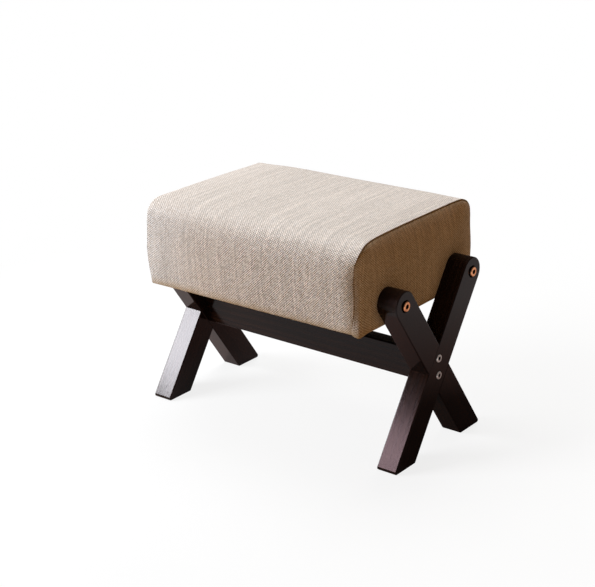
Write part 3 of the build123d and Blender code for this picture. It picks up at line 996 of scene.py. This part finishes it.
# Dust cover under the seat with its folded edge
DUST_THICK = 0.0006
DUST_COLUMNS = 95
DUST_ROWS = 65
FOLD = 0.012
FOLD_STEP = 0.0005
SAG = 0.0016
SAG_REACH = 0.05
PULL = 0.0005            # how far a staple pulls the cloth up
PULL_WIDTH = 0.009
PULL_REACH = 0.03
PULL_MOST = 0.0006

# Staples that hold it
STAPLE_INSET = 0.006
STAPLE_RUN_X = 0.172
STAPLE_RUN_Y = 0.112
STAPLES_X = 12
STAPLES_Y = 8
STAPLE_BACK = (0.0105, 0.0011, 0.0006)
STAPLE_LEG = (0.0007, 0.0011, 0.0022)
STAPLE_LEG_X = 0.0049
STAPLE_LEG_Z = 0.0011
STAPLE_PROUD = 0.0002
STAPLE_SKEW = 0.12
SKEW_RATE_X = 90
SKEW_RATE_Y = 70
STAPLE_ROUND = 0.00016


def staple_places(wide, deep):
    """X, Y and turn of each staple: a row along each edge, none quite straight."""
    places = []
    for s in (-1, 1):
        places += [(s * (wide - STAPLE_INSET), y, math.pi / 2)
                   for y in np.linspace(-STAPLE_RUN_Y, STAPLE_RUN_Y, STAPLES_Y)]
    for s in (-1, 1):
        places += [(x, s * (deep - STAPLE_INSET), 0.0)
                   for x in np.linspace(-STAPLE_RUN_X, STAPLE_RUN_X, STAPLES_X)]
    skewed = []
    for x, y, turn in places:
        skewed.append((x, y, turn + STAPLE_SKEW * math.sin(SKEW_RATE_X * x + SKEW_RATE_Y * y)))
    return skewed


def dust_lift(x, y, edge, places):
    """Lift of the dust cover at a point: it sags, lies lower at its fold and is pulled up by the staples."""
    sag = SAG * min(1.0, max(0.0, edge - FOLD) / SAG_REACH)
    fold = FOLD_STEP if edge < FOLD + FOLD_STEP else 0.0
    pull = 0.0
    for staple_x, staple_y, _ in places:
        far = math.hypot(x - staple_x, y - staple_y)
        if far < PULL_REACH:
            pull += PULL * math.exp(-(far / PULL_WIDTH) ** 2)
    return min(pull, PULL_MOST) - sag - fold


def make_dust_cover(places, wide, deep, level):
    points = []
    for x in np.linspace(-wide, wide, DUST_COLUMNS):
        for y in np.linspace(-deep, deep, DUST_ROWS):
            edge = min(wide - abs(x), deep - abs(y))
            points.append((x, y, level + DUST_THICK + dust_lift(x, y, edge, places)))
    faces = []
    for i in range(DUST_COLUMNS - 1):
        for j in range(DUST_ROWS - 1):
            a = i * DUST_ROWS + j
            faces.append([a, a + 1, a + DUST_ROWS + 1, a + DUST_ROWS])
    piece = mesh_object("dust_sheet", points, faces, felt)
    thicken(piece, DUST_THICK, 1)
    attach(piece, "root")
    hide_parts("dust_cover")


def make_staples(places, level):
    bars = [((0, 0, 0), STAPLE_BACK)]
    bars += [((s * STAPLE_LEG_X, 0, STAPLE_LEG_Z), STAPLE_LEG) for s in (-1, 1)]
    mesh = bmesh.new()
    for x, y, turn in places:
        staple = Matrix.Translation((x, y, level - STAPLE_PROUD)) @ Matrix.Rotation(turn, 4, "Z")
        for offset, lengths in bars:
            bar = staple @ Matrix.Translation(offset) @ Matrix.Diagonal((*lengths, 1))
            bmesh.ops.create_cube(mesh, size=1, matrix=bar)
    bmesh.ops.bevel(mesh, geom=mesh.edges[:], offset=STAPLE_ROUND, segments=1, affect="EDGES")
    data = bpy.data.meshes.new("staples")
    mesh.to_mesh(data)
    mesh.free()
    data.materials.append(steel)
    piece = bpy.data.objects.new("staples", data)
    bpy.context.scene.collection.objects.link(piece)
    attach(piece, "root")


dust_low, dust_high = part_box("dust_cover")
staples = staple_places(dust_high.x, dust_high.y)
make_dust_cover(staples, dust_high.x, dust_high.y, dust_low.z)
make_staples(staples, dust_low.z)

# Floor and background: white to the camera, dimmer to the rays that light the stool and in its reflections
FLOOR_LEVEL = -0.0002
FLOOR_RADII = (0.6, 1.5, 4.0, 12.0)
FLOOR_AROUND = 64
ORIGIN = (0, 0, 0)
WHITE_FAR = (0.40, 0.95)             # distances in metres over which the floor changes
WHITE_SHARE = (0.83, 1.0)            # and the shares between which it does
# Painted shadow and light in the floor's reflections: less white near the stool, more in front, darker under
# its right end
SHADED_PLACE = (0.18, 0.16, 0)
SHADED_FAR = (0.24, 0.54)
SHADED_SEEN = (0.03, 0.50)
FRONT_Y = (-0.10, -0.24)
FRONT_SEEN = (0.0, 0.40)
UNDER_RIGHT = (0.24, 0.10, 0)
UNDER_FAR = (0.10, 0.22)
UNDER_SHADOW_TONE = (0.06, 0.045, 0.04, 1)
MIRRORED_TONE = (0.50, 0.31, 0.28, 1)
BOUNCED_TONE = (0.44, 0.28, 0.15, 1)
WHITE = (1, 1, 1, 1)
WORLD_TONE = (1.0, 0.80, 0.62, 1)
WORLD_STRENGTH = 0.04
WORLD_MIRRORED = 0.12


def floor_mesh():
    """Flat disc of rings."""
    points = [(0, 0, FLOOR_LEVEL)]
    faces = []
    for k, radius in enumerate(FLOOR_RADII):
        for i in range(FLOOR_AROUND):
            angle = 2 * math.pi * i / FLOOR_AROUND
            points.append((radius * math.cos(angle), radius * math.sin(angle), FLOOR_LEVEL))
        outer = 1 + k * FLOOR_AROUND
        inner = outer - FLOOR_AROUND
        for i in range(FLOOR_AROUND):
            j = (i + 1) % FLOOR_AROUND
            if k == 0:
                faces.append([0, outer + i, outer + j])
            else:
                faces.append([inner + i, outer + i, outer + j, inner + j])
    return points, faces


def seen_share(tree, path, mirrored_share):
    """How much of the pale surroundings a ray sees: all of it for the camera, a part in reflections."""
    mirrored = calc(tree, "MAXIMUM", path["Is Glossy Ray"], path["Is Transmission Ray"])
    return calc(tree, "MAXIMUM", path["Is Camera Ray"], product(tree, mirrored, mirrored_share))


def mix_shader(tree, share, a, b):
    return put(tree, "ShaderNodeMixShader", {0: share, 1: a, 2: b}).outputs[0]


def make_floor_material():
    """Pale with the stool's shadow and white further out; brown to rays that don't see it so. In reflections
    it is whiter in front and darker by painted shadow near the stool, most under its right end.
    """
    material = bpy.data.materials.new("floor")
    material.use_nodes = True
    tree = material.node_tree
    tree.nodes.clear()
    path = put(tree, "ShaderNodeLightPath").outputs
    place = texture_place(tree)
    far = vector_calc(tree, "DISTANCE", place, ORIGIN)
    shaded_far = vector_calc(tree, "DISTANCE", place, SHADED_PLACE)
    from_shade = spread(tree, shaded_far, *SHADED_FAR, *SHADED_SEEN)
    in_front = spread(tree, part_of(tree, place, 1), *FRONT_Y, *FRONT_SEEN)
    seen = seen_share(tree, path, calc(tree, "ADD", from_shade, in_front))
    # Painted shadow in reflections under the stool's right end
    from_under_shadow = spread(tree, vector_calc(tree, "DISTANCE", place, UNDER_RIGHT), *UNDER_FAR)
    mirrored_tone = mix_colour(tree, from_under_shadow, UNDER_SHADOW_TONE, MIRRORED_TONE)
    plain_tone = mix_colour(tree, path["Is Glossy Ray"], BOUNCED_TONE, mirrored_tone)
    plain = put(tree, "ShaderNodeBsdfDiffuse", {"Color": plain_tone}).outputs[0]
    mottle = grey(tree, spread(tree, noise(tree, place, scale=6.0, detail=3.0), 0.3, 0.7, 0.97, 1.0))
    pale = put(tree, "ShaderNodeBsdfDiffuse", {"Color": mottle}).outputs[0]
    white = put(tree, "ShaderNodeEmission", {"Color": WHITE, "Strength": 1.0}).outputs[0]
    lifted = mix_shader(tree, spread(tree, far, *WHITE_FAR, *WHITE_SHARE), pale, white)
    put(tree, "ShaderNodeOutputMaterial", {"Surface": mix_shader(tree, seen, plain, lifted)})
    return material


def make_world():
    world = bpy.data.worlds.new("world")
    bpy.context.scene.world = world
    world.use_nodes = True
    tree = world.node_tree
    tree.nodes.clear()
    path = put(tree, "ShaderNodeLightPath").outputs
    seen = seen_share(tree, path, WORLD_MIRRORED)
    dim = put(tree, "ShaderNodeBackground", {"Color": WORLD_TONE, "Strength": WORLD_STRENGTH}).outputs[0]
    white = put(tree, "ShaderNodeBackground", {"Color": WHITE, "Strength": 1.0}).outputs[0]
    put(tree, "ShaderNodeOutputWorld", {"Surface": mix_shader(tree, seen, dim, white)})


def lamp(name, place, aim, size, watts, colour, mirrored=True, lights=True):
    """Area lamp: not mirrored hides it from reflections, not lights leaves it to them alone."""
    data = bpy.data.lights.new(name, "AREA")
    data.shape = "RECTANGLE"
    data.size, data.size_y = size
    data.energy = watts
    data.color = colour
    light = bpy.data.objects.new(name, data)
    light.location = place
    light.visible_glossy = mirrored
    light.visible_diffuse = lights
    light.rotation_euler = (Vector(aim) - Vector(place)).to_track_quat("-Z", "Y").to_euler()
    bpy.context.scene.collection.objects.link(light)


mesh_object("floor", *floor_mesh(), make_floor_material())
make_world()

# Lamps: the strip shows only in reflections
DAYLIGHT = (0.95, 0.965, 1.0)
PINK = (1.0, 0.73, 0.79)
COOL_WHITE = (0.97, 0.985, 0.99)
WARM_WHITE = (1.0, 0.98, 0.96)
AMBER = (1.0, 0.52, 0.16)
lamp("window", (-1.672, -1.298, 1.155), (-0.122, 0.132, 0.22), (0.86, 0.35), 40.2, DAYLIGHT)
lamp("window_end", (-1.2585, -1.746, 1.155), (0.2915, -0.316, 0.22), (0.36, 0.35), 16.8, DAYLIGHT,
     mirrored=False)
lamp("strip", (-1.11, -1.80, 1.297), (0.22, -0.05, 0.06), (0.50, 0.240), 5.9, PINK, lights=False)
lamp("overhead", (-0.60, 0.35, 1.95), (-0.05, 0.05, 0.3), (1.2, 1.2), 25.5, COOL_WHITE, mirrored=False)
lamp("behind", (-0.3, 2.0, 1.2), (0, 0, 0.25), (1.0, 0.8), 11, WARM_WHITE, mirrored=False)
lamp("right", (1.7, 0.1, 0.55), (0, 0, 0.22), (1.2, 1.0), 2.6, AMBER, mirrored=False)

bpy.context.scene.view_settings.view_transform = "Standard"
